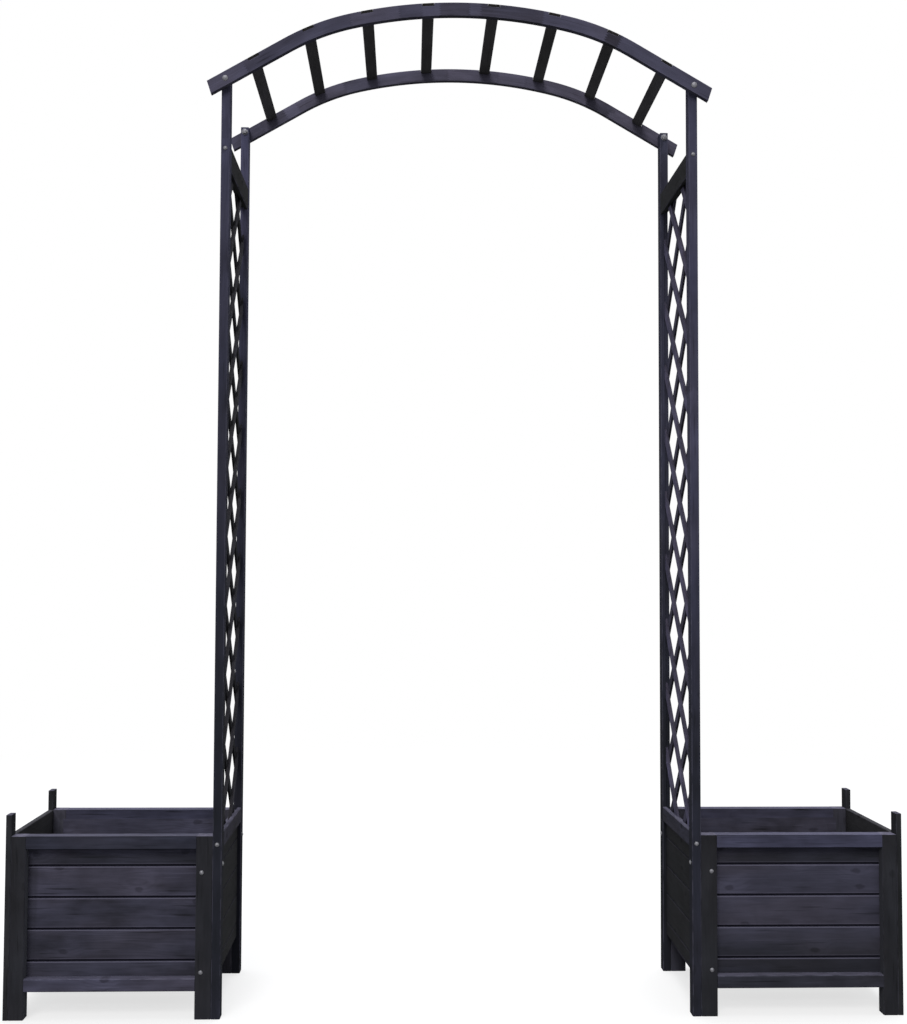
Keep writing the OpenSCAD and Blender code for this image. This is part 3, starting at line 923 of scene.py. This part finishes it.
@dataclass
class TrellisSide(TimberSet):
    """Two posts, a head, a sill, two lattice layers and the boards below.

    Here and in Planter, a name that ends in the name of a trait of StainedTimber is that trait, for the
    piece that it starts with. The lattices' tone also holds painted shade: the left one is darker, as in
    the shadow of its front post.
    """

    post_foot: float
    post_foot_z: tuple[float, float]
    rear_tone: float
    lattice_tone: float
    lattice_dull: float
    front_tone: float = 1.13
    crossing_z: float = 0.475
    pitch: float = 0.145

    def build(self) -> None:
        """Dresses the pieces of the side."""
        for step, (face, tone) in enumerate((("front", self.front_tone), ("rear", self.rear_tone))):
            self.timber(
                f"{face}_post", Run.UP, step, tone, foot=self.post_foot, foot_z=self.post_foot_z,
                rub=0.22, cool=0.7, knots=0.3, figure=0.75,
            )
        self.timber("trellis_head", Run.BACK, 2, 0.52, dull=0.6)
        self.timber("trellis_sill", Run.BACK, 3, 0.8)
        # The inner layer is painted lighter with brighter edges and the outer one darker: painted light and
        # shade of the two layers.
        for layer, run, lean in (("inner", Run.RISING, 1), ("outer", Run.FALLING, -1)):
            self.timber(
                f"lattice_{layer}", run, 5 + lean, self.lattice_tone * (1.1 + lean * 0.25),
                rub=0.5 + lean * 0.25, dull=self.lattice_dull, knots=0.2,
                course_z=self.crossing_z + self.pitch / 2, course_h=self.pitch, lean=lean,
            )
        self.timber(
            "side_boards", Run.BACK, 7, 0.48,
            rub=0.1, lip=0.04, dull=0.6, knots=0.3, figure=0.7, groove=0.3, **COURSES,
        )
        self.timber("corner_cleats", Run.UP, 8, 0.8)


@dataclass
class Planter(TimberSet):
    """A planter box: framed panels of boards in front and at the rear, an end panel and a floor.

    upright is the tone of the front stiles and the end battens, and grime_x the boards'
    corner_x, where their painted shade beside the outer stiles starts.
    """

    top_tone: float
    bottom_tone: float
    bottom_crest: float
    board_tone: float
    board_figure: float
    board_foot: float
    board_foot_z: tuple[float, float]
    grime_x: float
    flank: float
    upright: float = 0.53

    def build(self) -> None:
        """Dresses the pieces of the planter."""
        front = {
            "deep_z": COURSES["course_z"] + 3 * COURSES["course_h"], "corner_x": self.grime_x,
            "foot": self.board_foot, "foot_z": self.board_foot_z, "figure": self.board_figure,
        }
        faces = (("front", 0, self.upright, self.top_tone, front), ("rear", 10, 1.0, self.board_tone, {}))
        for face, step, upright, top, traits in faces:
            for index, (part, flank) in enumerate((("inner_stile", 0.0), ("outer_stile", self.flank))):
                self.timber(
                    f"{face}_{part}", Run.UP, step + index, upright,
                    crest=0.5, rub=0.06, dull=0.35, flank=flank, figure=0.6, knots=0.25,
                )
            rim, low, boards = (f"{face}_{part}" for part in ("top_rail", "bottom_rail", "boards"))
            self.timber(rim, Run.ACROSS, step + 2, top, crest=0.25, rub=0.0, sunk=0.6, cool=0.6)
            self.timber(low, Run.ACROSS, step + 3, self.bottom_tone, crest=self.bottom_crest, rub=0.25)
            self.timber(boards, Run.ACROSS, step + 4, self.board_tone, knots=0.4, **COURSES, **traits)
        self.timber("end_battens", Run.UP, 21, self.upright, rub=0.1, dull=0.6)
        self.timber("end_rails", Run.BACK, 22, 0.9, crest=0.03, rub=0.08, dull=0.8, figure=0.7)
        self.timber("end_boards", Run.BACK, 23, 1.35, lip=0.25, dull=0.8, figure=0.7, **COURSES)
        self.timber("floor_cleats", Run.BACK, 24, 0.8)
        self.timber("floor_boards", Run.ACROSS, 25, 0.8)


@dataclass
class Fasteners:
    """The zinc bolts, washers, nuts and screws, in millimetres as in the part's source."""

    bow: Bow
    stock_t: float = 32.0
    bolt_d: float = 6.0
    bolt_head_d: float = 12.5
    screw_d: float = 5.0
    screw_head_d: float = 9.0
    screw_l: float = 46.0
    head_rise: float = 3.0
    nut_h: float = 5.0
    nut_af: float = 10.0
    washer_t: float = 1.2
    washer_d: float = 14.0
    head_z: float = 1754.2
    sill_z: float = 343.0
    side_z: float = 303.0
    panel_z: tuple[float, float] = (92.0, 288.0)
    panel_x: float = 511.5
    head_edge: float = 0.5
    shank_bevel: float = 0.8
    nut_bevel: tuple[float, float] = (1.2, 0.7)
    washer_bevel: float = 0.3
    hole_play: float = 0.25
    bolt_end: float = 1.0
    dome_steps: int = 9
    round_steps: int = 32
    washer_steps: int = 40
    nut_sides: int = 6

    def build(self) -> None:
        """Makes the three groups of fasteners."""
        finish = ZincPlate().material()
        x, face = self.bow.post_mid_x, self.bow.face_y
        mid_h = self.bow.rail_h / 2 / math.cos(self.bow.slope)
        z = self.bow.end_start[1] - (x - self.bow.end_start[0]) * math.tan(self.bow.slope) - mid_h
        bolt_l = self.bow.rail_t + self.stock_t + self.washer_t + self.nut_h + self.bolt_end
        bolt = self.domed(self.bolt_d, self.bolt_head_d, bolt_l)
        bolts, nuts, screws = [], [], []
        along_y = np.array([[1, 0, 0], [0, 0, 1], [0, -1, 0]], float)
        along_x = np.array([[0, 0, 1], [0, 1, 0], [-1, 0, 0]], float)
        screw = self.domed(self.screw_d, self.screw_head_d, self.screw_l)
        heads = [(x, self.head_z), (x, self.sill_z)] + [(self.panel_x, height) for height in self.panel_z]
        for sx, sy in ((-1, -1), (-1, 1), (1, -1), (1, 1)):
            metres = np.array([sx, sy, 1.0]) * MM
            mirror = np.diag([sx, -sy, 1.0])
            turn = mirror @ along_y
            bolts.append(bolt.moved(turn, metres * (x, face + self.bow.rail_t, z)))
            nuts += [part.moved(turn, metres * (x, face - self.stock_t, z)) for part in self.washer_and_nut()]
            screws += [screw.moved(turn, metres * (head_x, face, height)) for head_x, height in heads]
            side = metres * (self.bow.post_x, face - self.stock_t / 2, self.side_z)
            screws.append(screw.moved(mirror @ along_x, side))
        for node, group in (("arch_bolts", bolts), ("arch_nuts", nuts), ("screws", screws)):
            Surface.joined(group).piece(f"zinc_{node}", finish, Slot.ZINC, [node])

    def domed(self, shank_d: float, head_d: float, length: float) -> Surface:
        """A domed head over a plain shank along +Z, with the flat of the head at z = 0.

        The dome is a ball cap: its radius is half the square of the half width plus the square of the
        rise, over the rise.

        Args:
            shank_d: Diameter of the shank.
            head_d: Diameter of the head.
            length: Length of the shank.

        Returns:
            The surface.
        """
        half, rise, lip, bevel = head_d / 2, self.head_rise, self.head_edge, self.shank_bevel
        ball = (half**2 + rise**2) / (2 * rise)
        angle = np.linspace(0, math.asin(half * 0.995 / ball), self.dome_steps)
        dome = np.stack([ball * np.sin(angle), ball - rise - ball * np.cos(angle)], axis=-1)
        dome[0, 0] = 0.0
        dome[:, 1] = -rise + (dome[:, 1] + rise) * (rise - lip) / (dome[-1, 1] + rise)
        rest = np.array(
            [
                [half, -lip * 0.6], [half, 0.0], [shank_d / 2, 0.0],
                [shank_d / 2, length - bevel], [shank_d / 2 - bevel, length], [0.0, length],
            ]
        )
        smooth = np.array([True] * self.dome_steps + [False, False, True, False, False])
        return lathe(np.concatenate([dome, rest])[::-1] * MM, smooth[::-1], self.round_steps)

    def washer_and_nut(self) -> list[Surface]:
        """A flat ring, and a six-sided ring with bevelled corners above it, both along +Z."""
        corner = self.nut_af / 2 / math.cos(math.pi / self.nut_sides)
        bevel = (self.washer_bevel, self.washer_bevel)
        washer = self._ring(self.washer_d / 2, self.washer_t, bevel, self.washer_steps)
        nut = self._ring(corner, self.nut_h, self.nut_bevel, self.nut_sides)
        return [washer, nut.moved(np.eye(3), (0, 0, self.washer_t * MM))]

    def _ring(self, r: float, h: float, bevel: tuple[float, float], turns: int) -> Surface:
        """A ring round the bolt: its outer radius, height, bevel inwards and down, and steps round."""
        hole = self.bolt_d / 2 + self.hole_play
        body = [[hole, 0], [hole, h], [r - bevel[0], h], [r, h - bevel[1]], [r, 0], [hole, 0]]
        return lathe(np.array(body) * MM, np.zeros(5, dtype=bool), turns)


@dataclass
class Studio:
    """The camera, the lamps, the pale floor and the white surroundings."""

    camera_at: tuple[float, float, float] = (-0.1017, -3.018, 0.8686)
    pitch: float = 2.864
    roll: float = -0.203
    yaw: float = -1.816
    focal_px: float = 1400.0
    sensor: float = 36.0
    key: float = 2.05
    top: float = 2.4
    sky: float = 0.62
    floor_half: float = 14.0
    fade_r: tuple[float, float] = (1.3, 4.5)

    def build(self) -> None:
        """Sets up the camera, the light and the floor."""
        self._camera()
        self._lamps()
        self._world()
        self._floor()
        bpy.context.scene.view_settings.view_transform = "Standard"

    def _camera(self) -> None:
        """The camera of the photograph: turned by yaw about Z, then pitch, then roll."""
        data = bpy.data.cameras.new("camera")
        data.sensor_width = self.sensor
        data.lens = self.focal_px * self.sensor / PHOTO_H
        data.clip_start, data.clip_end = 0.05, 60.0
        camera = bpy.data.objects.new("camera", data)
        turn = (
            Matrix.Rotation(math.radians(self.yaw), 4, "Z")
            @ Matrix.Rotation(math.radians(self.pitch), 4, "X")
            @ Matrix.Rotation(math.radians(self.roll), 4, "Y")
        )
        level = Matrix(((1, 0, 0, 0), (0, 0, -1, 0), (0, 1, 0, 0), (0, 0, 0, 1)))
        camera.matrix_world = Matrix.Translation(self.camera_at) @ turn @ level
        bpy.context.scene.collection.objects.link(camera)
        bpy.context.scene.camera = camera

    def _lamps(self) -> None:
        """A key lamp from the front, high and a little to the left, and one from above.

        Each has a name, the direction that its light comes from, its strength, the angle in degrees that
        it fills, which softens the shadows, and its colour.
        """
        for name, source, strength, spread, colour in (
            ("key", (-0.19, -0.77, 0.64), self.key, 26.0, (1.0, 0.99, 0.985)),
            ("top", (0.03, 0.16, 0.98), self.top, 30.0, (0.97, 0.98, 1.0)),
        ):
            data = bpy.data.lights.new(name, "SUN")
            data.energy, data.angle, data.color = strength, math.radians(spread), colour
            lamp = bpy.data.objects.new(name, data)
            lamp.rotation_euler = Vector(source).to_track_quat("Z", "Y").to_euler()
            bpy.context.scene.collection.objects.link(lamp)

    def _world(self) -> None:
        """White where the camera or a reflection sees it, and a dim sky for the light on the object."""
        world = bpy.data.worlds.new("surroundings")
        bpy.context.scene.world = world
        graph = Graph(world)
        _, seen = self._seen(graph)
        sky = rgba(self.sky * 0.95, self.sky * 0.97, self.sky)
        colour = graph.mix(seen, sky, rgba(1.0, 1.0, 1.0))
        shader = graph.add("ShaderNodeBackground", None, {"Color": colour, "Strength": 1.0})[0]
        graph.finish(shader, "ShaderNodeOutputWorld")

    @staticmethod
    def _seen(graph: Graph) -> tuple[Wire, Wire]:
        """Masks of the camera's own rays, and of these together with reflected and transmitted ones."""
        path = graph.add("ShaderNodeLightPath")
        camera, glossy, transmission = path[0], path[3], path[6]
        return camera, camera.greatest(glossy).greatest(transmission)

    def _floor(self) -> None:
        """A wide pale floor that keeps the object's shadow near it and fades to white far away."""
        half = self.floor_half
        mesh = bpy.data.meshes.new("floor")
        corners = [(-half, -half, 0), (half, -half, 0), (half, half, 0), (-half, half, 0)]
        mesh.from_pydata(corners, [], [(0, 1, 2, 3)])
        floor = bpy.data.objects.new("floor", mesh)
        bpy.context.scene.collection.objects.link(floor)
        floor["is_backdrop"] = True
        material = bpy.data.materials.new("PaleFloor")
        mesh.materials.append(material)
        graph = Graph(material)
        place = graph.add("ShaderNodeTexCoord")[3]
        reach = graph.add("ShaderNodeVectorMath", {"operation": "LENGTH"}, {0: place})[0]
        camera, seen = self._seen(graph)
        colour = graph.mix(camera, rgba(0.18, 0.18, 0.18), rgba(0.80, 0.80, 0.80))
        matt = graph.add("ShaderNodeBsdfDiffuse", None, {"Color": colour})[0]
        white = graph.add("ShaderNodeEmission", None, {"Color": rgba(1, 1, 1), "Strength": 1.0})[0]
        share = seen * (reach.ramp(*self.fade_r) * 0.3 + 0.7)
        graph.finish(graph.add("ShaderNodeMixShader", None, {0: share, 1: matt, 2: white})[0])


def write_sizes(after: object) -> None:
    """Only defines a helper that turns a box into nested lists of numbers.

    Args:
        after: The bounds of the finished scene; not used.
    """
    def plain(box: Iterable[Iterable[float]]) -> list[list[float]]:
        """Nested lists of numbers."""
        return [[float(v) for v in corner] for corner in box]


def main() -> None:
    """Builds the scene in order."""
    logging.basicConfig(level=logging.INFO, format="%(name)s: %(message)s")
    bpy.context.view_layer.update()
    bow = Bow()
    for part in (
        Arch(bow),
        # The left lattice is toned darker, a painted shadow of its front post.
        TrellisSide(
            "left", 40, post_foot=0.25, post_foot_z=(2.15, 0.45), rear_tone=1.4, lattice_tone=0.68,
            lattice_dull=0.5,
        ),
        TrellisSide(
            "right", 60, post_foot=0.30, post_foot_z=(1.3, 0.3), rear_tone=0.83, lattice_tone=1.45,
            lattice_dull=0.05,
        ),
        Planter(
            "left", 100, top_tone=0.66, bottom_tone=1.13, bottom_crest=0.28, board_tone=1.08,
            board_figure=1.0, board_foot=0.72, board_foot_z=(0.3, 0.08), grime_x=0.836, flank=0.85,
        ),
        Planter(
            "right", 150, top_tone=1.1, bottom_tone=0.6, bottom_crest=0.42, board_tone=1.02,
            board_figure=0.65, board_foot=0.42, board_foot_z=(0.2, 0.1), grime_x=0.855, flank=0.45,
            upright=0.48,
        ),
        Fasteners(bow),
        Studio(),
    ):
        part.build()
        LOG.info("%s done", type(part).__name__)
    write_sizes(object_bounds())


if __name__ == "__main__":
    main()
